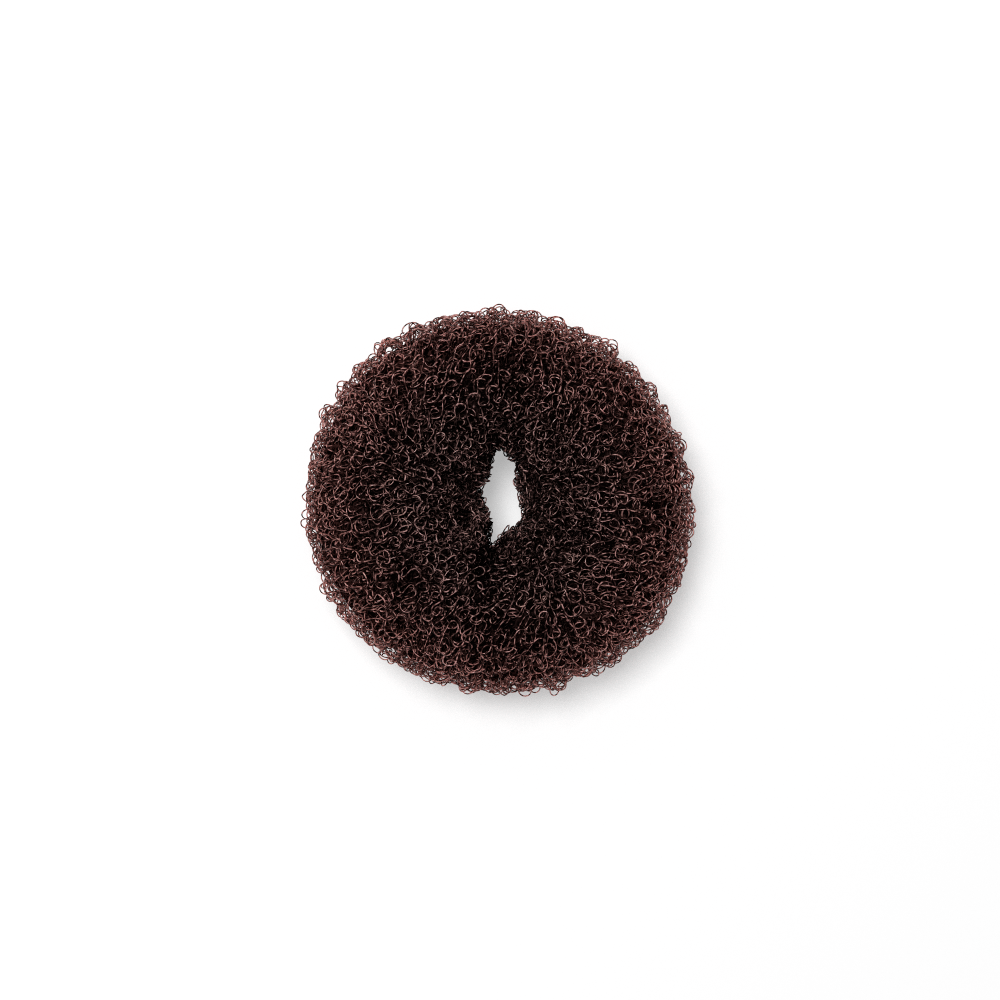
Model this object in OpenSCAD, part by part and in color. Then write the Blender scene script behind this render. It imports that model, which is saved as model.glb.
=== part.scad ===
// Hair donut: one knitted tube of crimped nylon mesh, rolled down on itself into a springy ring.
// The ring lies on the floor plane, its axis is Z, and the slit that the hair goes through runs along Y.

/* [Ring] */
// Width of the ring along X, from rim to rim
ring_w = 80; // [62:1:110]
// Height of the ring as it lies
ring_h = 32; // [26:1:42]
// How far the underside is pressed flat where it rests
rest_flat = 1; // [0.8:0.1:2]

/* [Slit] */
// Length of the slit along Y
slit_l = 19.5; // [12:0.5:26]
// Width of the slit along X
slit_w = 8; // [5:0.5:14]

/* [Roll] */
// Depth of the knitted wall, from the tops of its loops to their roots
wall = 3; // [2:0.1:4]
// Slack between one turn of the roll and the next
turn_gap = 0.6; // [0.3:0.1:1.2]
// Least width of the hollow that is left inside the last turn
hollow_d = 6; // [4:0.5:9]
// Angle on the section where the outer hem ends, with 180 at the slit and 270 at the floor
hem_at = 234; // [216:1:240]
// Share of a turn in which the roll sinks to pass under its own hem
hem_dip = 0.12; // [0.1:0.01:0.2]

/* [Gathers] */
// How far the deepest gather is drawn in
gather_depth = 2.2; // [0:0.1:3]

/* [Hidden] */

// Outline from above. Slit: share of an oval slit_w by slit_l. Rim: share of half of ring_w.
AZIMUTH = 0;
SLIT = 1;
RIM = 2;
outline = [
    // azimuth, slit, rim
    [0, 0.97, 1.000],
    [15, 1.01, 0.992],
    [30, 0.93, 0.978],
    [45, 0.86, 0.975],
    [60, 1.19, 0.973],
    [75, 1.04, 0.974],
    [90, 1.07, 0.978],
    [105, 0.88, 0.988],
    [120, 0.70, 0.998],
    [135, 0.80, 1.002],
    [150, 0.93, 0.999],
    [165, 0.74, 0.996],
    [180, 0.61, 1.000],
    [195, 0.54, 1.000],
    [210, 0.50, 0.993],
    [225, 0.51, 0.986],
    [240, 0.50, 0.979],
    [255, 0.96, 0.977],
    [270, 0.78, 0.978],
    [285, 0.66, 0.990],
    [300, 0.82, 1.008],
    [315, 1.02, 1.022],
    [330, 1.18, 1.026],
    [345, 1.10, 1.012],
];

// Gathers and dimples. Section: where the middle lies on the section, with 90 at the crown and
// 180 at the slit. Half and span: degrees to either side, round the ring and round the section.
// Depth: share of gather_depth.
SECTION = 1;
HALF = 2;
SPAN = 3;
DEPTH = 4;
gathers = [
    // azimuth, section, half, span, depth
    [37, 140, 14, 45, 0.7],
    [116, 142, 14, 40, 0.6],
    [145, 138, 13, 42, 0.7],
    [203, 140, 20, 48, 1.0],
    [261, 134, 16, 58, 1.0],
    [308, 138, 15, 48, 0.8],
    [86, 84, 13, 24, 0.5],
    [223, 80, 15, 26, 0.5],
    [343, 106, 15, 24, 0.5],
];

// Sections round the ring, and steps round the outermost turn
sections = 48;
turn_steps = 20;
// Quarter of a turn that the inner end of the roll runs on past its last whole turn
tail = 0.25;
// Angle by which a hem's rounded edge stands out past its two faces
nose = 4;

row_pitch = 360 / len(outline);
roll_r = ((ring_w - slit_w) / 2 + ring_h) / 4;
half_h = (ring_h + rest_flat) / 2;
pitch = wall + turn_gap;
whole_turns = max(1, floor((roll_r - hollow_d / 2 - wall) / pitch));

// Smooth step from 0 to 1
function ease(x) = let (c = min(1, max(0, x))) c * c * (3 - 2 * c);

// Smooth bump, 1 in the middle and 0 from half away on
function bump(off, half) = abs(off) < half ? (1 + cos(180 * off / half)) / 2 : 0;

// Difference of two angles, from -180 to 180
function turn_between(a, b) = (a - b + 540) % 360 - 180;

// A column of the outline at any azimuth, on a smooth curve through its rows
function share(column, azimuth) =
    let (
        at = azimuth / row_pitch,
        row = floor(at),
        f = at - row,
        v = [for (k = [-1:2]) outline[(row + k + len(outline)) % len(outline)][column]]
    )
    v[1] + f / 2 * (v[2] - v[0] + f * (2 * v[0] - 5 * v[1] + 4 * v[2] - v[3]
        + f * (3 * (v[1] - v[2]) + v[3] - v[0])));

// Radius of the slit and of the rim at an azimuth
function slit_r(azimuth) =
    share(SLIT, azimuth) / norm([2 * cos(azimuth) / slit_w, 2 * sin(azimuth) / slit_l]);
function rim_r(azimuth) = share(RIM, azimuth) * ring_w / 2;

// How far the gathers draw the roll in, as a share of its radius
function drawn_in(azimuth, angle) =
    let (pulls = [for (g = gathers)
        g[DEPTH] * bump(turn_between(azimuth, g[AZIMUTH]), g[HALF])
            * bump(turn_between(angle, g[SECTION]), g[SPAN])])
    gather_depth / roll_r * max(pulls);

// Depth of the roll below its outside after some turns, stepping in by one pitch under the hem
function sunk(turns) =
    let (whole = floor(turns)) pitch * (whole + ease(1 + (turns - whole - 1) / hem_dip));

// A point of the roll: some turns in from the outer hem, and some depth into the wall there
function roll_point(azimuth, turns, depth) =
    let (
        angle = (hem_at + 360 * turns) % 360,
        scale = (1 - (sunk(max(0, turns)) + depth) / roll_r) * (1 - drawn_in(azimuth, angle)),
        inner = slit_r(azimuth),
        outer = rim_r(azimuth),
        r = (inner + outer) / 2 + (outer - inner) / 2 * scale * cos(angle),
        z = half_h * (1 + scale * sin(angle)) - rest_flat
    )
    [r * cos(azimuth), r * sin(azimuth), max(0, z)];

// Turns at each step along the mesh, with fewer steps in the smaller turns
function steps_in(turn) = ceil(turn_steps * (1 - turn * pitch / roll_r));
stations = [
    for (turn = [0:whole_turns])
        let (n = steps_in(turn))
        for (k = [0:(turn < whole_turns ? n - 1 : ceil(tail * n))])
            turn + k / n
];
last = len(stations) - 1;
end_turns = stations[last];

// One section: along the outside of the mesh, round its inner end, back along the inside and
// round the outer hem
function section(azimuth) = concat(
    [for (t = stations) roll_point(azimuth, t, 0)],
    [roll_point(azimuth, end_turns + nose / 360, wall / 2)],
    [for (k = [last:-1:0]) roll_point(azimuth, stations[k], wall)],
    [roll_point(azimuth, -nose / 360, wall / 2)]
);

// The knitted tube, rolled up: one wall that winds in from the outer hem to the hollow
module rolled_mesh() {
    loops = [for (s = [0:sections - 1]) section(360 * s / sections)];
    n = len(loops[0]);
    points = [for (l = loops) each l];
    quads = [
        for (s = [0:sections - 1], k = [0:n - 1])
            let (s2 = (s + 1) % sections, k2 = (k + 1) % n)
            [s * n + k, s * n + k2, s2 * n + k2, s2 * n + k]
    ];
    color([0.16, 0.09, 0.08])
        polyhedron(points, [for (q = quads) each [[q[0], q[1], q[2]], [q[0], q[2], q[3]]]]);
}

rolled_mesh();
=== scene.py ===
"""Looks of a hair donut: a knitted tube of crimped nylon filament, rolled up into a springy ring."""

import bpy
import numpy as np
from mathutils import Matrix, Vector
from mathutils.bvhtree import BVHTree


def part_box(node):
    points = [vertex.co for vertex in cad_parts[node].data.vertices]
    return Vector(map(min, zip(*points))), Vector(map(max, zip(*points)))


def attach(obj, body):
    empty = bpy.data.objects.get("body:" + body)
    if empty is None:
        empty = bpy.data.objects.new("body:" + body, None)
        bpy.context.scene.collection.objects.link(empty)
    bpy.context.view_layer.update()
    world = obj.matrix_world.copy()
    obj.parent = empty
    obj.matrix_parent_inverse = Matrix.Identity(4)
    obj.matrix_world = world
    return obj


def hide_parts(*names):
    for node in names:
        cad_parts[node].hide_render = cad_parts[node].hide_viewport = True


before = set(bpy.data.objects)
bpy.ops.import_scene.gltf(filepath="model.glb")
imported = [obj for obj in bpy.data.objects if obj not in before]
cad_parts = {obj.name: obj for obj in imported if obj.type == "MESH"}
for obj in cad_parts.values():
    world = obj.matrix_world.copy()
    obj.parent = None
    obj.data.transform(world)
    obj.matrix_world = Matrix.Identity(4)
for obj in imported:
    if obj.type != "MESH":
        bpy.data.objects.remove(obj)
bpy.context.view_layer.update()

MM = 0.001
TURN = 2 * np.pi


# The camera looks straight down on the ring, as on a photographer's copy stand.
# One picture width takes in 205.7 mm at the height where the ring is widest. Nothing smooths the
# picture, which would melt the bare filaments together.
VIEW_WIDTH = 205.7 * MM
LENS_MM = 100.0
SENSOR_MM = 36.0
VIEW_CENTRE = (0.31 * MM, 0.41 * MM)
NEAREST_SEEN = 0.01
FARTHEST_SEEN = 20.0
PIXEL_SPREAD = 1.0

lowest, highest = (np.array(corner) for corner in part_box("rolled_mesh"))
waist_z = (lowest[2] + highest[2]) / 2
lens = bpy.data.cameras.new("copy_stand_camera")
lens.lens = LENS_MM
lens.sensor_width = SENSOR_MM
lens.clip_start = NEAREST_SEEN
lens.clip_end = FARTHEST_SEEN
camera = bpy.data.objects.new("copy_stand_camera", lens)
camera.location = (*VIEW_CENTRE, waist_z + VIEW_WIDTH * LENS_MM / SENSOR_MM)
bpy.context.collection.objects.link(camera)
bpy.context.scene.camera = camera
bpy.context.scene.cycles.use_denoising = False
bpy.context.scene.cycles.filter_width = PIXEL_SPREAD


# The ground is a matt white sheet, large enough that no view meets its edge.
# It belongs to the studio and not to the ring. It glows a little, as a back-lit table does, and
# more so far off, where the lamp doesn't reach, so that it runs on into the pale walls.
SHEET_HALF = 6.0
SHEET_WHITE = 0.9
SHEET_ROUGHNESS = 0.9
SHEET_SPECULAR = 0.1
SHEET_GLOW = 0.42
SHEET_GLOW_FAR = 0.75
FAR_FROM = 0.3
FAR_TO = 1.3


def feed(node, values):
    """Gives inputs of a shader node their values, each a plain value or the socket to link."""
    for name, value in values.items():
        if isinstance(value, bpy.types.NodeSocket):
            node.id_data.links.new(value, node.inputs[name])
        else:
            node.inputs[name].default_value = value
    return node


def placed(tree):
    """The place of a point on its piece, in metres."""
    return tree.nodes.new("ShaderNodeTexCoord").outputs["Object"]


def ranged(tree, value, start, end, low=0.0, high=1.0, kind="LINEAR"):
    """A value carried over from the range start to end into the range low to high."""
    node = tree.nodes.new("ShaderNodeMapRange")
    node.interpolation_type = kind
    feed(node, {"Value": value, "From Min": start, "From Max": end, "To Min": low, "To Max": high})
    return node.outputs["Result"]


sheet_mesh = bpy.data.meshes.new("white_sheet")
sheet_mesh.from_pydata(
    [(x * SHEET_HALF, y * SHEET_HALF, 0.0) for x, y in ((-1, -1), (1, -1), (1, 1), (-1, 1))],
    [],
    [(0, 1, 2, 3)],
)
sheet = bpy.data.objects.new("white_sheet", sheet_mesh)
bpy.context.collection.objects.link(sheet)
matt_white = bpy.data.materials.new("matt_white")
matt_white.use_nodes = True
matt_tree = matt_white.node_tree
far_off = matt_tree.nodes.new("ShaderNodeVectorMath")
far_off.operation = "LENGTH"
feed(far_off, {0: placed(matt_tree)})
sheet_glow = ranged(
    matt_tree, far_off.outputs["Value"], FAR_FROM, FAR_TO, SHEET_GLOW, SHEET_GLOW_FAR
)
feed(
    matt_tree.nodes["Principled BSDF"],
    {
        "Base Color": (SHEET_WHITE, SHEET_WHITE, SHEET_WHITE, 1.0),
        "Roughness": SHEET_ROUGHNESS,
        "Specular IOR Level": SHEET_SPECULAR,
        "Emission Color": sheet_glow,
        "Emission Strength": 1.0,
    },
)
sheet_mesh.materials.append(matt_white)


# The light is one soft box overhead, a little to the upper left of the picture, and the white
# walls of the studio all round. A camera sees the walls brighter than they light the ring, as
# bright as the far end of the sheet.
BOX_PLACE = (-0.22, 0.26, 1.30)
BOX_SIDE = 0.45
BOX_POWER = 10.1
WALL_LIGHT = 0.15
WALL_SEEN = 0.885

box_lamp = bpy.data.lights.new("soft_box", "AREA")
box_lamp.shape = "SQUARE"
box_lamp.size = BOX_SIDE
box_lamp.energy = BOX_POWER
soft_box = bpy.data.objects.new("soft_box", box_lamp)
soft_box.location = BOX_PLACE
soft_box.rotation_euler = Vector(BOX_PLACE).to_track_quat("Z", "Y").to_euler()
bpy.context.collection.objects.link(soft_box)

white_walls = bpy.data.worlds.new("white_walls")
white_walls.use_nodes = True
wall_tree = white_walls.node_tree
seen = wall_tree.nodes.new("ShaderNodeLightPath").outputs["Is Camera Ray"]
wall_glow = ranged(wall_tree, seen, 0.0, 1.0, WALL_LIGHT, WALL_SEEN)
feed(wall_tree.nodes["Background"], {"Color": (1.0, 1.0, 1.0, 1.0), "Strength": wall_glow})
bpy.context.scene.world = white_walls
bpy.context.scene.view_settings.view_transform = "Standard"


# The outside of the roll is felt out on the frame's own solid, so that every loop sits on it.
# Rays at half height give the slit and the rim, and rays towards the middle of the roll give its
# outside all round the section.
AZIMUTHS = 192
ANGLES = 128
KEPT_WAVES = (26, 26)

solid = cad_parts["rolled_mesh"]
solid_tree = BVHTree.FromPolygons(
    [v.co for v in solid.data.vertices], [p.vertices for p in solid.data.polygons]
)


def free_way(starts, ways):
    """How far each ray runs from its start along its way before it meets the solid."""
    return np.array([solid_tree.ray_cast(start, way)[3] for start, way in zip(starts, ways)])


def smoothed(values, kept_waves):
    """Values round a closed curve or surface, with waves shorter than the kept ones taken out.

    Along each axis, waves with n times as many turns as the kept one are left at e to the power of
    minus n to the fourth.
    """
    waves = np.fft.fftn(values)
    for axis, (count, kept) in enumerate(zip(values.shape, kept_waves)):
        turns = np.abs(np.fft.fftfreq(count, 1 / count))
        keep = np.exp(-((turns / kept) ** 4))
        waves = waves * keep.reshape([-1 if a == axis else 1 for a in range(values.ndim)])
    return np.fft.ifftn(waves).real


azimuths = TURN * np.arange(AZIMUTHS) / AZIMUTHS
angles = TURN * np.arange(ANGLES) / ANGLES
outwards = np.stack([np.cos(azimuths), np.sin(azimuths), 0 * azimuths], axis=-1)
middle = np.array([0.0, 0.0, waist_z])
clear_of_rim = 2 * highest[0]
slit_radius = free_way(middle + 0 * outwards, outwards)
rim_radius = clear_of_rim - free_way(middle + clear_of_rim * outwards, -outwards)
core_radius = smoothed((slit_radius + rim_radius) / 2, KEPT_WAVES)

section_ways = (
    np.cos(angles)[None, :, None] * outwards[:, None, :]
    + np.sin(angles)[None, :, None] * np.array([0.0, 0.0, 1.0])
)
core = middle + core_radius[:, None] * outwards
section_starts = core[:, None, :] + core_radius[:, None, None] * section_ways
section_free = free_way(section_starts.reshape(-1, 3), -section_ways.reshape(-1, 3))
roll_radius = smoothed(core_radius[:, None] - section_free.reshape(AZIMUTHS, ANGLES), KEPT_WAVES)


def from_grid(grid, *places):
    """Values of a closed grid at places in turns along each axis, straight between its points.

    Each corner round a place counts by the product of its nearness along each axis.
    """
    steps = [np.asarray(place) * count for place, count in zip(places, grid.shape)]
    below = [np.floor(step).astype(int) for step in steps]
    total = 0.0
    for sides in np.ndindex(*(2,) * grid.ndim):
        corner = [low + side for low, side in zip(below, sides)]
        weight = 1.0
        for step, mark in zip(steps, corner):
            weight = weight * (1 - np.abs(step - mark))
        total = total + weight * grid[tuple(mark % n for mark, n in zip(corner, grid.shape))]
    return total


def wall_point(azimuth, angle, depth):
    """A point at a depth below the outside of the roll, azimuth and section angle in turns.

    From the middle of the section it lies out along the section angle by the roll's radius
    there less the depth. The second to fourth results point along the ring, along the section
    and outwards.
    """
    round_ring, round_section = TURN * azimuth, TURN * angle
    cos_ring, sin_ring = np.cos(round_ring), np.sin(round_ring)
    cos_section, sin_section = np.cos(round_section), np.sin(round_section)
    ring_way = np.stack([-sin_ring, cos_ring, 0 * round_ring], axis=-1)
    out_way = np.stack([cos_section * cos_ring, cos_section * sin_ring, sin_section], axis=-1)
    section_way = np.stack([-sin_section * cos_ring, -sin_section * sin_ring, cos_section], axis=-1)
    radius = from_grid(roll_radius, azimuth, angle) - depth
    from_axis = np.stack([cos_ring, sin_ring, 0 * round_ring], axis=-1)
    centre = middle + from_grid(core_radius, azimuth)[..., None] * from_axis
    return centre + radius[..., None] * out_way, ring_way, section_way, out_way


# The inner turns of the roll show only as darkness between the outer loops. They are the same
# knit of brown nylon, wound tight, so one closed surface below the loops stands for them, and its
# curls are drawn by the material.
CORE_DEPTH = 1.6 * MM
CORE_DEPTH_AT_RIM = 2.0 * MM
CORE_ROWS = 144
CORE_COLUMNS = 96
CORE_CLEAR = 0.6 * MM

# The nylon's browns, the browns of its painted half and deep shade, the redness painted at the
# rim for light coming through it, the painted light of the inner turns, and the scales of the
# noise that varies the browns and draws the curls
PINK_BROWN = (0.86, 0.500, 0.480, 1.0)
OLIVE_BROWN = (0.80, 0.510, 0.440, 1.0)
HALF_SHADE_BROWN = (0.54, 0.265, 0.243, 1.0)
SHADE_BROWN = (0.002, 0.001, 0.001, 1.0)
RIM_THROUGH_LIGHT = (1.14, 0.80, 0.75, 1.0)
PATCH_SCALE = 300.0
PATCH_DETAIL = 1.0
OLIVE_FROM = 0.4
OLIVE_TO = 0.68
CURL_SCALES = (420.0, 560.0, 760.0)
CURL_BEND = 0.6
CURL_HALF_WIDTH = 0.05
CURL_HEIGHT = 0.25 * MM
NOISE_MIDDLE = 0.5
DEEP_LIGHT = 0.03
DEEP_LIGHT_AT_RIM = 0.1


def calculated(tree, operation, first, second=0.0):
    """A number worked out from one or two others."""
    node = tree.nodes.new("ShaderNodeMath")
    node.operation = operation
    return feed(node, {0: first, 1: second}).outputs["Value"]


def mixed(tree, factor, first, second, blend="MIX"):
    """Two colours mixed, or the first blended with the second, by a factor."""
    node = tree.nodes.new("ShaderNodeMix")
    node.data_type = "RGBA"
    node.blend_type = blend
    return feed(node, {"Factor": factor, "A": first, "B": second}).outputs["Result"]


def noise(tree, values, dimensions="3D"):
    """Soft noise between 0 and 1."""
    node = tree.nodes.new("ShaderNodeTexNoise")
    node.noise_dimensions = dimensions
    return feed(node, values).outputs["Fac"]


def stored(tree, name):
    """A value that the mesh keeps at its points."""
    node = tree.nodes.new("ShaderNodeAttribute")
    node.attribute_name = name
    return node.outputs["Fac"]


def grouped(tree, group, values):
    """A node group placed in a tree, with its inputs fed."""
    node = tree.nodes.new("ShaderNodeGroup")
    node.node_tree = group
    return feed(node, values)


def nylon_brown_with_painted_light():
    """Node group that gives the nylon's brown, with painted light and shade,
    from its painted light between 0 deep down and 1 outside.

    Soft patches of a few millimetres vary the brown between a pink and an olive one. As the
    painted light falls it goes over into a deeper red brown of painted half shade and then into
    the near black of painted deep shade. At the rim the brown is painted redder, for the light
    that comes through the filaments from the pale ground.
    """
    group = bpy.data.node_groups.new("nylon_brown_with_painted_light", "ShaderNodeTree")
    group.interface.new_socket("Light", in_out="INPUT", socket_type="NodeSocketFloat")
    group.interface.new_socket("Rim", in_out="INPUT", socket_type="NodeSocketFloat")
    group.interface.new_socket("Color", in_out="OUTPUT", socket_type="NodeSocketColor")
    given = group.nodes.new("NodeGroupInput").outputs
    patches = noise(
        group, {"Vector": placed(group), "Scale": PATCH_SCALE, "Detail": PATCH_DETAIL}
    )
    brown = mixed(group, ranged(group, patches, OLIVE_FROM, OLIVE_TO), PINK_BROWN, OLIVE_BROWN)
    # Painted shade: as the painted light falls the brown goes over into a half-shade red brown, then
    # near black.
    shaded = mixed(group, given["Light"], SHADE_BROWN, HALF_SHADE_BROWN)
    light_squared = calculated(group, "MULTIPLY", given["Light"], given["Light"])
    lit_brown = mixed(group, light_squared, shaded, brown)
    # Painted light: near the rim the brown is multiplied redder, for light that comes through the
    # filaments from the pale ground.
    rim_lit_through = mixed(group, given["Rim"], lit_brown, RIM_THROUGH_LIGHT, "MULTIPLY")
    feed(group.nodes.new("NodeGroupOutput"), {"Color": rim_lit_through})
    return group


def drawn_curls():
    """Node group that draws thin curly lines, along which a soft noise has its middle value.

    The line is 1 in its middle and falls on a smooth step to 0 where the noise is off its middle
    value by the curl's half width.
    """
    group = bpy.data.node_groups.new("drawn_curls", "ShaderNodeTree")
    group.interface.new_socket("Scale", in_out="INPUT", socket_type="NodeSocketFloat")
    group.interface.new_socket("Layer", in_out="INPUT", socket_type="NodeSocketFloat")
    group.interface.new_socket("Line", in_out="OUTPUT", socket_type="NodeSocketFloat")
    given = group.nodes.new("NodeGroupInput").outputs
    values = {
        "Vector": placed(group),
        "W": given["Layer"],
        "Scale": given["Scale"],
        "Detail": 0.0,
        "Distortion": CURL_BEND,
    }
    off_middle = calculated(group, "SUBTRACT", noise(group, values, "4D"), NOISE_MIDDLE)
    away = calculated(group, "ABSOLUTE", off_middle)
    line = ranged(group, away, 0.0, CURL_HALF_WIDTH, 1.0, 0.0, "SMOOTHSTEP")
    feed(group.nodes.new("NodeGroupOutput"), {"Line": line})
    return group


brown_with_painted_light_group = nylon_brown_with_painted_light()
curl_group = drawn_curls()
inner_paint = bpy.data.materials.new("nylon_in_shade")
inner_paint.use_nodes = True
paint_tree = inner_paint.node_tree
tangle = 0.0
for layer, scale in enumerate(CURL_SCALES):
    curls = grouped(paint_tree, curl_group, {"Scale": scale, "Layer": float(layer)})
    tangle = calculated(paint_tree, "MAXIMUM", tangle, curls.outputs["Line"])
inner_light = calculated(paint_tree, "MULTIPLY", tangle, stored(paint_tree, "light"))
# The inner turns' brown in painted shade: near black, with the drawn curls a little lit, more so
# towards the rim.
inner_brown_with_painted_shade = grouped(
    paint_tree, brown_with_painted_light_group, {"Light": inner_light, "Rim": stored(paint_tree, "rim")}
)
relief = paint_tree.nodes.new("ShaderNodeBump")
feed(relief, {"Distance": CURL_HEIGHT, "Height": tangle})
feed(
    paint_tree.nodes["Principled BSDF"],
    {
        "Base Color": inner_brown_with_painted_shade.outputs["Color"],
        "Roughness": 1.0,
        "Specular IOR Level": 0.0,
        "Normal": relief.outputs["Normal"],
    },
)


def add_piece(name, points, faces, material, **values):
    """A smooth mesh of quads with named values at its points, which rides on the ring."""
    mesh = bpy.data.meshes.new(name)
    corners = faces.shape[1]
    mesh.vertices.add(len(points))
    mesh.vertices.foreach_set("co", points.astype(np.float32).ravel())
    mesh.loops.add(faces.size)
    mesh.loops.foreach_set("vertex_index", faces.astype(np.int32).ravel())
    mesh.polygons.add(len(faces))
    mesh.polygons.foreach_set("loop_start", np.arange(len(faces), dtype=np.int32) * corners)
    mesh.polygons.foreach_set("use_smooth", np.ones(len(faces), bool))
    mesh.update(calc_edges=True)
    mesh.validate()
    mesh.materials.append(material)
    for value_name, value in values.items():
        attribute = mesh.attributes.new(value_name, "FLOAT", "POINT")
        attribute.data.foreach_set("value", value.astype(np.float32))
    piece = bpy.data.objects.new(name, mesh)
    bpy.context.collection.objects.link(piece)
    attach(piece, "root")
    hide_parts("rolled_mesh")
    return piece


def closed_quads(rows, columns):
    """Faces of a grid of points that closes on itself both ways."""
    row, column = np.meshgrid(np.arange(rows), np.arange(columns), indexing="ij")
    here, there = row * columns, (row + 1) % rows * columns
    next_column = (column + 1) % columns
    corners = [here + column, there + column, there + next_column, here + next_column]
    return np.stack(corners, axis=-1).reshape(-1, 4)


def facing_rim(angle):
    """Share by which the outside of the roll faces the rim, from 0 to 1: the angle's cosine."""
    return np.clip(np.cos(TURN * angle), 0, 1)


def facing_slit(angle):
    """Share by which the outside of the roll faces the slit, from 0 to 1: the cosine negated."""
    return np.clip(-np.cos(TURN * angle), 0, 1)


def blended(start, end, share):
    """A value from start to end, by a share from 0 to 1."""
    return start + (end - start) * share


row_turns, column_turns = np.meshgrid(
    np.arange(CORE_ROWS) / CORE_ROWS, np.arange(CORE_COLUMNS) / CORE_COLUMNS, indexing="ij"
)
core_at_rim = facing_rim(column_turns)
core_depth = blended(CORE_DEPTH, CORE_DEPTH_AT_RIM, core_at_rim)
core_light = blended(DEEP_LIGHT, DEEP_LIGHT_AT_RIM, core_at_rim)
core_points = wall_point(row_turns, column_turns, core_depth)[0].reshape(-1, 3)
core_points[:, 2] = np.maximum(core_points[:, 2], CORE_CLEAR)
core_faces = closed_quads(CORE_ROWS, CORE_COLUMNS)
core_values = {"light": core_light.ravel(), "rim": core_at_rim.ravel()}
inner_turns = add_piece("inner_turns", core_points, core_faces, inner_paint, **core_values)


# The outer turn of the roll is an open net of large loops of bare nylon filament, knitted round
# on forty needles, with a second such net just below it. Each course is one closed yarn round the
# ring. It lies half a stitch on from the last course, and in line with it at the rim.
FILAMENT = 0.255 * MM
SIDES = 3
MOST_TRIANGLES = 190000
NEEDLES = 40
SAMPLES = 20
NET_COURSES = 36
NET_DEPTH = 0.55 * MM
NET_DEPTH_AT_RIM = 0.75 * MM
NEXT_NET_DEPTH = 1.2 * MM
NEXT_NET_DEPTH_AT_RIM = 1.9 * MM
SLIT_DEPTH = 0.35 * MM
IN_LINE_FROM = 0.85
LOBE = 0.45 * MM

# Powers of the share facing the rim, by which what belongs to the rim fades away from it
RIM_FADE = 4
LOOP_FADE = 6

# A loop's size and stand, and the pitches of stitches at which it is pulled straight or lies wide
LOOP_WIDTH = 0.88 * MM
LOOP_HEIGHT = 2.25 * MM
LOOP_DEPTH = 0.4 * MM
STRAIGHT_PITCH = 7.9 * MM
WIDE_PITCH = 4.6 * MM
LEAST_WIDE = 0.2
MOST_WIDE = 1.1
RIM_LOOPS = 0.35
SLIT_LOOPS = 0.75
LOOP_STAND = 1.0

# How the knit leans, is raised, drifts along the ring and swells into lumps in patches
FLOW_WAVES = (5, 3)
LEAN = 0.35
RAISED_WAY = 1.6
DRIFT = 0.3
LUMP_WAVES = (60, 26)
LUMP = 0.6 * MM
SLIT_LUMPS = 0.4

# How far chance takes a course, a stitch and a loop from its place and form
CHANCE_SEED = 7
COURSE_SLIP = 0.1
COURSE_CHANCE = 0.004
STITCH_CHANCE = 0.15
PHASE_CHANCE = 0.55
DEPTH_CHANCE = 0.2 * MM
SIZE_CHANCE = 0.28
LEAN_CHANCE = 0.4
TILT_CHANCE = 1.1
TILT_LOST_WIDE = 0.4
FOLD_CHANCE = 0.45
CRIMPS = 6
CRIMP = 0.13 * MM
RIM_CRIMP = 0.28 * MM

# How light falls off into the mesh, as depths and as shares of the full light
LIGHT_SKIN = 0.3 * MM
LIGHT_REACH = 1.17 * MM
LIGHT_REACH_GAIN = 0.5 * MM
DENT_WAVES = (3, 3)
DENT_SHADE = 0.25
THROAT_SHADE = 0.45
LOOP_SHADE = 0.32
STEEP_SHADE = 0.9
CROWN_LIGHT = 0.86
CROWN_LIGHT_RISE = 3
RIM_LIGHT = 0.83
RIM_LIGHT_RISE = 1.8
RIM_FROM = 0.45
RIM_BAND = 22 * MM

# The filament's finish and the light painted on it: a gloss worn in patches, a clear coat that
# grows with the painted light, painted glints at places along the yarn set by noise, standing for
# its crimp turning to the light, painted shade on flanks darker than tops, and a fine grain
NYLON_IOR = 1.53
NYLON_SPECULAR = 0.1
SPECULAR_TINT = (1.0, 0.66, 0.62, 1.0)
COAT_ROUGHNESS = 0.25
COAT_IOR = 2.05
COAT_NARROWED = 2.0
GLOSS_SCALE = 700.0
SMOOTHEST = 0.22
ROUGHEST = 0.45
GLINT_SCALE = 1000.0
GLINTS_FROM = 0.37
GLINTS_TO = 0.59
BETWEEN_GLINTS = 0.16
FLANK_BLEND = 0.4
FLANK_FROM = 0.25
FLANK_TO = 0.85
FLANK_LIGHT = 0.25
FLANK_LIGHT_AT_RIM = 0.5
RIM_NARROWED = 6.0
GRAIN_SCALE = 6000.0
GRAIN_STRENGTH = 0.5
GRAIN_HEIGHT = 0.01 * MM

# The yarns' material: the nylon's brown with the light and shade painted at the yarns' points.
nylon_with_painted_light = bpy.data.materials.new("crimped_nylon")
nylon_with_painted_light.use_nodes = True
tree = nylon_with_painted_light.node_tree
rim = stored(tree, "rim")
# Painted glints: noise along each yarn keeps its painted light in short stretches and lowers it
# between, standing for the crimp turning to the light.
glints = noise(tree, {"W": stored(tree, "along"), "Scale": GLINT_SCALE, "Detail": 0.0}, "1D")
painted_glint_light = ranged(tree, glints, GLINTS_FROM, GLINTS_TO, BETWEEN_GLINTS, 1.0, "SMOOTHSTEP")
lit = calculated(tree, "MULTIPLY", stored(tree, "light"), painted_glint_light)
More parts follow.
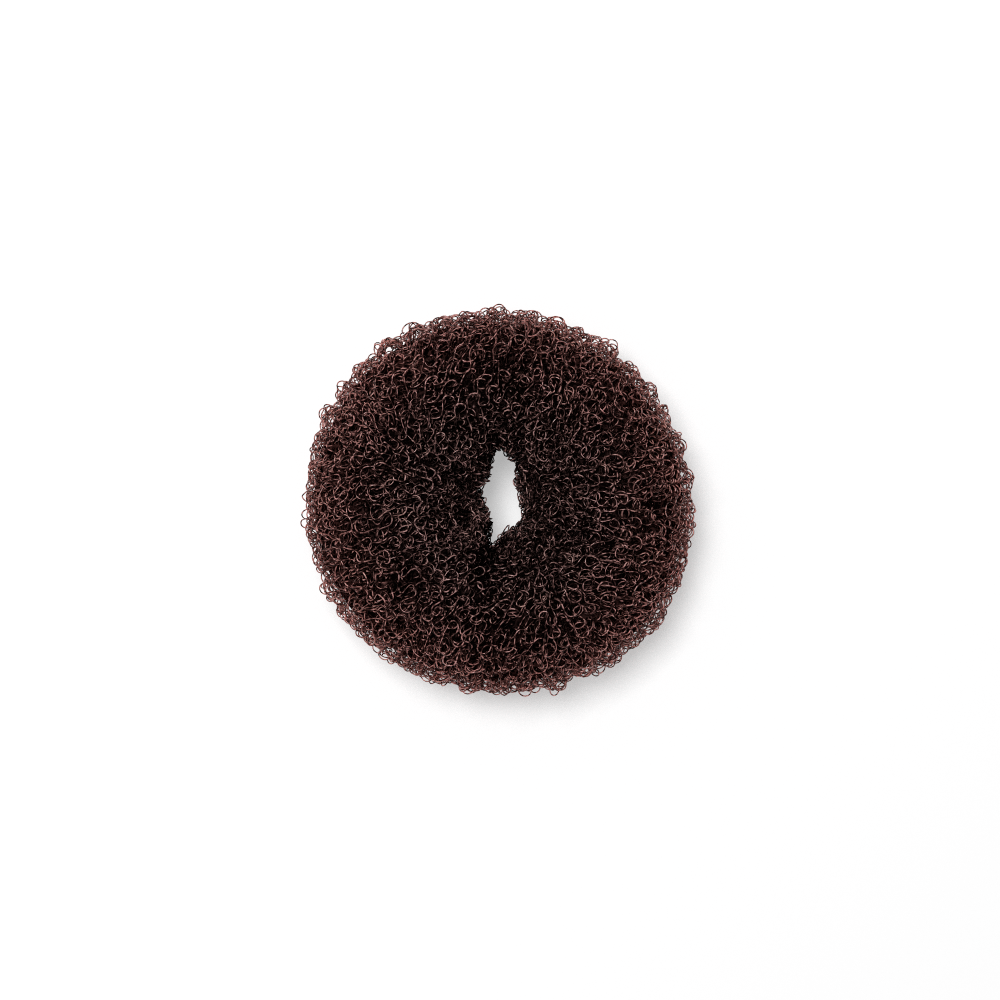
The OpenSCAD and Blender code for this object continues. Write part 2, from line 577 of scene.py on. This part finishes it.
# Painted shade: a yarn's flanks, where its surface turns away from the view, are darker than its
# top, less so right at the rim.
outermost = calculated(tree, "POWER", rim, RIM_NARROWED)
flank_light = ranged(tree, outermost, 0.0, 1.0, FLANK_LIGHT, FLANK_LIGHT_AT_RIM)
flank = feed(tree.nodes.new("ShaderNodeLayerWeight"), {"Blend": FLANK_BLEND})
top_light = ranged(tree, flank.outputs["Facing"], FLANK_FROM, FLANK_TO, 1.0, flank_light)
top_lit = calculated(tree, "MULTIPLY", lit, top_light)
# The yarns' brown with their painted light, painted glints and painted flank shade.
brown_with_painted_light = grouped(tree, brown_with_painted_light_group, {"Light": top_lit, "Rim": rim})
worn = noise(tree, {"Vector": placed(tree), "Scale": GLOSS_SCALE})
grain = noise(tree, {"Vector": placed(tree), "Scale": GRAIN_SCALE})
grain_bump = tree.nodes.new("ShaderNodeBump")
feed(grain_bump, {"Strength": GRAIN_STRENGTH, "Distance": GRAIN_HEIGHT, "Height": grain})
feed(
    tree.nodes["Principled BSDF"],
    {
        "Base Color": brown_with_painted_light.outputs["Color"],
        "Roughness": ranged(tree, worn, 0.0, 1.0, SMOOTHEST, ROUGHEST),
        "IOR": NYLON_IOR,
        "Specular IOR Level": NYLON_SPECULAR,
        "Specular Tint": SPECULAR_TINT,
        # Painted gloss: the coat grows with the painted light, so what lies in painted shade shows
        # no gloss.
        "Coat Weight": calculated(tree, "POWER", lit, COAT_NARROWED),
        "Coat Roughness": COAT_ROUGHNESS,
        "Coat IOR": COAT_IOR,
        "Normal": grain_bump.outputs["Normal"],
    },
)

chance = np.random.default_rng(CHANCE_SEED)


def chance_field(kept_waves):
    """Smoothed chance values round the ring and the section, with a standard deviation of 1."""
    field = smoothed(chance.normal(0, 1, (AZIMUTHS, ANGLES)), kept_waves)
    return field / field.std()


lumps = chance_field(LUMP_WAVES)
leaning = chance_field(FLOW_WAVES)
raising = chance_field(FLOW_WAVES)
drifting = chance_field(FLOW_WAVES)
dents = np.maximum(smoothed(roll_radius, DENT_WAVES) - roll_radius, 0)


def wander(rows, knots, steps):
    """Chance values of about -1 to 1 along closed yarns, one row for each yarn.

    Each row goes through one chance value at each of its knots, on a smooth cubic curve whose
    slope at a knot is half the difference of the values on both sides of it.
    """
    values = chance.uniform(-1, 1, (rows, knots))
    place = np.arange(steps) * knots / steps
    knot = np.floor(place).astype(int)
    on = place - knot
    before, start, end, after = (values[:, (knot + k) % knots] for k in (-1, 0, 1, 2))
    squared = 2 * before - 5 * start + 4 * end - after
    cubed = 3 * (start - end) + after - before
    return start + on / 2 * (end - before + on * (squared + on * cubed))


def turned(first, second, angle):
    """Two parts of a vector after a turn by an angle in their plane."""
    cos, sin = np.cos(angle), np.sin(angle)
    return first * cos - second * sin, first * sin + second * cos


def lump_at(azimuth, angle):
    """How far the knit swells out in lumps, less so towards the slit."""
    return LUMP * from_grid(lumps, azimuth, angle) * blended(1, SLIT_LUMPS, facing_slit(angle))


def laid_on(base, ways, ring_part, section_part, out_part):
    """Points off a base by three parts, along the ring, along the section and outwards."""
    parts = (ring_part, section_part, out_part)
    points = base + sum(part[..., None] * way for part, way in zip(parts, ways))
    points[..., 2] = np.maximum(points[..., 2], FILAMENT / 2)
    return points


def light_at(depth, azimuth, angle):
    """Share of the light that is left at a depth in the mesh.

    It falls on a smooth step from 1 at the skin's depth to 0 at the light's reach below it. The
    reach is longest at the rim, where the net is stretched open over the pale ground, and shortest
    in the slit, where the share is also raised to a power. In a dent of the roll everything counts
    as deeper. Away from the rim the share is times the crown's light, and near the rim it is never
    less than the rim's light.
    """
    rimward = np.cos(TURN * angle)
    depth = depth + DENT_SHADE * from_grid(dents, azimuth, angle)
    left = 1 - (depth - LIGHT_SKIN) / (LIGHT_REACH + LIGHT_REACH_GAIN * rimward)
    left = np.clip(left, 0, 1)
    left = left * left * (3 - 2 * left)
    left = left ** (1 + THROAT_SHADE * facing_slit(angle))
    near_rim = np.clip((rimward - RIM_FROM) / (1 - RIM_FROM), 0, 1)
    most = blended(CROWN_LIGHT, 1, np.clip(CROWN_LIGHT_RISE * near_rim, 0, 1))
    return np.maximum(most * left, RIM_LIGHT * np.clip(RIM_LIGHT_RISE * near_rim, 0, 1))


def dot(first, second):
    """Scalar product of arrays of vectors."""
    return (first * second).sum(axis=-1)


def ways_along(lines):
    """Directions of closed lines, at each point from the point before it to the one after."""
    way = np.roll(lines, -1, axis=1) - np.roll(lines, 1, axis=1)
    return way / np.linalg.norm(way, axis=-1, keepdims=True)


def dimmed(light, lines, out_way, needles):
    """Light on yarns, less by chance from loop to loop, and less where they run in or out.

    Such a yarn is steep by the square of its direction's outward part, and its light is times the
    square of 1 less that. At the rim, where the light comes from the side too, it keeps its light.
    """
    loop = 1 - LOOP_SHADE * (1 + wander(len(lines), needles, lines.shape[1])) / 2
    steep = STEEP_SHADE * np.abs(out_way[..., 2]) * dot(ways_along(lines), out_way) ** 2
    return light * loop * (1 - steep) ** 2


def loop_swing(pitch):
    """Swing of a loop along the ring, less by the square of the pitch, down to 0 where straight."""
    return LOOP_WIDTH * (1 - (pitch / STRAIGHT_PITCH) ** 2)


def lobe(azimuth, rimward):
    """How far columns of stitches stand out at the rim: a cosine with one wave for each needle."""
    return LOBE * rimward**RIM_FADE * np.cos(TURN * NEEDLES * azimuth)


def net_courses(sunk, sunk_at_rim):
    """Middle lines of the courses of a net round the ring, and the light that reaches them.

    A yarn goes forward evenly along the ring. It swings along it by the sine of twice its phase,
    across the courses by the cosine of its phase, and out and in by a mix of both. Each loop is
    then leaned, tilted and folded by chance and crimped. At the rim the loops are smaller and
    stand out, and where the stitches are crowded, towards the slit, they tilt further.
    """
    steps = NEEDLES * SAMPLES
    knots = (NET_COURSES, NEEDLES, steps)
    crimp_knots = (NET_COURSES, NEEDLES * CRIMPS, steps)
    along = np.arange(steps)[None, :] / steps
    course = np.arange(NET_COURSES)[:, None]
    course_angle = (course + chance.uniform(0, 1)) / NET_COURSES
    offset = course / 2 * (np.cos(TURN * course_angle) < IN_LINE_FROM)
    begin = (offset + COURSE_SLIP * chance.uniform(-1, 1, (NET_COURSES, 1))) / NEEDLES
    phase = TURN * (along + begin) * NEEDLES + PHASE_CHANCE * wander(*knots)
    angle = course_angle + COURSE_CHANCE * wander(*knots)
    azimuth = along + STITCH_CHANCE / NEEDLES * wander(*knots)
    azimuth = azimuth + DRIFT / NEEDLES * from_grid(drifting, azimuth, angle)
    rimward, slitward = facing_rim(angle), facing_slit(angle)
    depth = blended(sunk, sunk_at_rim, rimward**RIM_FADE) + SLIT_DEPTH * slitward
    depth = depth + DEPTH_CHANCE * wander(*knots) - lobe(azimuth, rimward)
    base, *ways = wall_point(azimuth, angle, depth)
    pitch = TURN * np.hypot(base[..., 0], base[..., 1]) / NEEDLES
    wide = np.clip(pitch / WIDE_PITCH, LEAST_WIDE, MOST_WIDE)
    size = (1 + SIZE_CHANCE * wander(*knots)) * blended(1, RIM_LOOPS, rimward**LOOP_FADE)
    size = size * blended(1, SLIT_LOOPS, slitward)
    ring_part = loop_swing(pitch) * size * np.sin(2 * phase)
    section_part = LOOP_HEIGHT * size * np.cos(phase)
    raised = RAISED_WAY * from_grid(raising, azimuth, angle)
    out_part = LOOP_DEPTH * (np.sin(raised) * np.sin(2 * phase) - np.cos(raised) * np.cos(phase))
    lean = LEAN * from_grid(leaning, azimuth, angle) + LEAN_CHANCE * wander(*knots)
    tilt = (TILT_CHANCE - TILT_LOST_WIDE * wide) * wander(*knots)
    fold = FOLD_CHANCE * wander(*knots) - LOOP_STAND * rimward**LOOP_FADE
    ring_part, section_part = turned(ring_part, section_part, lean)
    ring_part, out_part = turned(ring_part, out_part, tilt)
    section_part, out_part = turned(section_part, out_part, fold)
    crimp = blended(CRIMP, RIM_CRIMP, rimward**RIM_FADE)
    ring_part = ring_part + crimp * wander(*crimp_knots)
    section_part = section_part + crimp * wander(*crimp_knots)
    out_part = out_part + crimp * wander(*crimp_knots)
    lump = lump_at(azimuth, angle)
    lines = laid_on(base, ways, ring_part, section_part, out_part + lump)
    light = light_at(depth - out_part, azimuth, angle)
    return lines, dimmed(light, lines, ways[2], NEEDLES)


# Each ring of points starts square to this direction, in which no yarn runs for long
FIXED_WAY = np.array([0.31, 0.22, 0.93])


def yarn_surface(lines):
    """Points of closed yarns of the filament's thickness along closed middle lines.

    Each ring of points stands square to its line, and its mean width is the thickness. It is
    turned back by all the twist that the fixed way has brought about since the yarn's start, and
    what twist is left over at the end is shared out evenly.
    """
    count = lines.shape[1]
    radius = FILAMENT * np.pi / (2 * SIDES * np.sin(np.pi / SIDES))
    way = ways_along(lines)
    aside = np.cross(way, FIXED_WAY)
    aside = aside / np.linalg.norm(aside, axis=-1, keepdims=True)
    other = np.cross(way, aside)
    next_way, next_aside, next_other = (np.roll(v, -1, axis=1) for v in (way, aside, other))
    carried = aside - dot(aside, next_way)[..., None] * next_way
    twist = np.cumsum(np.arctan2(dot(carried, next_other), dot(carried, next_aside)), axis=1)
    left_over = (twist[:, -1:] + np.pi) % TURN - np.pi
    start = np.concatenate([0 * left_over, twist[:, :-1]], axis=1)
    start = start - left_over * np.arange(count) / count
    turn = start[..., None] + TURN * np.arange(SIDES) / SIDES
    ring = np.cos(turn)[..., None] * aside[:, :, None] + np.sin(turn)[..., None] * other[:, :, None]
    return lines[:, :, None] + radius * ring


def rim_share(points):
    """Share by which points seen from above are near the rim: 1 at it, 0 a band further in."""
    azimuth = np.arctan2(points[..., 1], points[..., 0]) / TURN
    inwards = from_grid(rim_radius, azimuth) - np.hypot(points[..., 0], points[..., 1])
    return np.clip(1 - inwards / RIM_BAND, 0, 1)


def add_yarns(name, lines, light):
    """Adds closed yarns as meshes, in as many pieces as keep each under the most triangles.

    Their points keep the light, the share by which they are near the rim, and the length along
    the yarn, each yarn a metre on from the last, so that no two glint alike.
    """
    surface = yarn_surface(lines)
    rows, steps = lines.shape[:2]
    lengths = np.linalg.norm(np.roll(lines, -1, axis=1) - lines, axis=-1)
    along = np.cumsum(lengths, axis=1) + np.arange(rows)[:, None]
    values = {"light": light, "along": along, "rim": rim_share(lines)}
    one_yarn = closed_quads(steps, SIDES)
    number = int(np.ceil(rows * len(one_yarn) * 2 / MOST_TRIANGLES))
    for part, mine in enumerate(np.array_split(np.arange(rows), number), 1):
        first = np.arange(len(mine)) * steps * SIDES
        faces = (first[:, None, None] + one_yarn).reshape(-1, 4)
        points = surface[mine].reshape(-1, 3)
        mine_values = {key: np.repeat(value[mine].ravel(), SIDES) for key, value in values.items()}
        add_piece(f"{name}_{part}", points, faces, nylon_with_painted_light, **mine_values)


add_yarns("outer_net", *net_courses(NET_DEPTH, NET_DEPTH_AT_RIM))
add_yarns("second_net", *net_courses(NEXT_NET_DEPTH, NEXT_NET_DEPTH_AT_RIM))


# The turn below is the same knit of nylon, pressed together: one stretch round the rim and over the
# crown, and one with fewer stitches through the slit. Its crimped yarns rise and sink all the time,
# and only their tops catch the light, as short dashes between the large loops.
FILL_DEPTH = 1.2 * MM
FILL_SLIT_DEPTH = 0.3 * MM
FILL_RIM_SWELL = 0.7 * MM
FILL_HEIGHT = 1.6 * MM
FILL_THINNED = 0.05
FILL_FADE = 2
RIM_IN_LINE = 0.8
WAVE_HEIGHT = 0.75 * MM
RIM_WAVE_HEIGHT = 0.65 * MM
WAVE_SIDE = 0.28 * MM
RIM_WAVE_SIDE = 0.55 * MM
OUTER_FILL = dict(courses=44, first=-0.2, last=0.45, needles=40, samples=46, waves=6, rim_waves=4)
INNER_FILL = dict(courses=10, first=0.45, last=0.8, needles=26, samples=40, waves=5, rim_waves=5)

# How far chance takes a pressed course, a stitch and a wave from its place and form, and how many
# times in a stitch it changes a wave's place and its height
FILL_SLIP = 0.15
FILL_COURSE_CHANCE = 0.012
FILL_STITCH_CHANCE = 0.3
FILL_PHASE_CHANCE = 0.8
FILL_DEPTH_CHANCE = 0.2 * MM
FILL_SIZE_CHANCE = 0.3
FILL_LEAN_CHANCE = 0.7
WAVE_CHANCE = 2.2
WAVE_CHANGES = 2
WAVE_HEIGHT_CHANCE = 0.4
WAVE_HEIGHT_CHANGES = 3


def crimped_courses(courses, first, last, needles, samples, waves, rim_waves):
    """Middle lines of crimped courses below the nets, and the light that reaches them.

    The courses lie between two section angles, in turns, and are thinned out towards the rim by
    the angle's sine. Each yarn takes the way of a stitch, and waves up and down along it by a
    cosine, with a swing to the side by the sine, so that it winds like a stretched spring. At the
    rim chance moves the stitches less, and the waves all swing to the side along the ring.
    """
    steps = needles * samples
    knots = (courses, needles, steps)
    wave_knots = (courses, needles * WAVE_CHANGES, steps)
    height_knots = (courses, needles * WAVE_HEIGHT_CHANGES, steps)
    along = np.arange(steps)[None, :] / steps
    course_angle = blended(first, last, (np.arange(courses)[:, None] + 0.5) / courses)
    course_angle = course_angle + FILL_THINNED * np.sin(TURN * course_angle)
    course_rimward = facing_rim(course_angle) ** FILL_FADE
    loose = 1 - RIM_IN_LINE * course_rimward
    begin = FILL_SLIP * loose * chance.uniform(-1, 1, (courses, 1)) / needles
    phase = TURN * (along + begin) * needles + FILL_PHASE_CHANCE * loose * wander(*knots)
    angle = course_angle + FILL_COURSE_CHANCE * wander(*knots)
    azimuth = along + FILL_STITCH_CHANCE * loose / needles * wander(*knots)
    rimward = facing_rim(angle)
    depth = FILL_DEPTH + FILL_SLIT_DEPTH * facing_slit(angle) + FILL_DEPTH_CHANCE * wander(*knots)
    depth = depth - FILL_RIM_SWELL * rimward**RIM_FADE - lobe(azimuth, rimward)
    base, *ways = wall_point(azimuth, angle, depth)
    pitch = TURN * np.hypot(base[..., 0], base[..., 1]) / needles
    size = 1 + FILL_SIZE_CHANCE * wander(*knots)
    ring_part = loop_swing(pitch) * size * np.sin(2 * phase)
    section_part = -FILL_HEIGHT * size * np.cos(phase)
    lean = FILL_LEAN_CHANCE * wander(*knots)
    ring_part, section_part = turned(ring_part, section_part, lean)
    number = np.round(needles * blended(waves, rim_waves, course_rimward))
    wave = TURN * along * number + WAVE_CHANCE * loose * wander(*wave_knots)
    height = blended(WAVE_HEIGHT, RIM_WAVE_HEIGHT, course_rimward)
    height = height * (1 + WAVE_HEIGHT_CHANCE * wander(*height_knots))
    swing_way = TURN * wander(*knots) * (1 - course_rimward)
    swing = blended(WAVE_SIDE, RIM_WAVE_SIDE, course_rimward) * np.sin(wave)
    ring_part = ring_part + swing * np.cos(swing_way)
    section_part = section_part + swing * np.sin(swing_way)
    out_part = height * np.cos(wave)
    lump = lump_at(azimuth, angle)
    lines = laid_on(base, ways, ring_part, section_part, out_part + lump)
    light = light_at(depth - out_part, azimuth, angle)
    return lines, dimmed(light, lines, ways[2], needles)


add_yarns("crimped_turn", *crimped_courses(**OUTER_FILL))
add_yarns("slit_turn", *crimped_courses(**INNER_FILL))
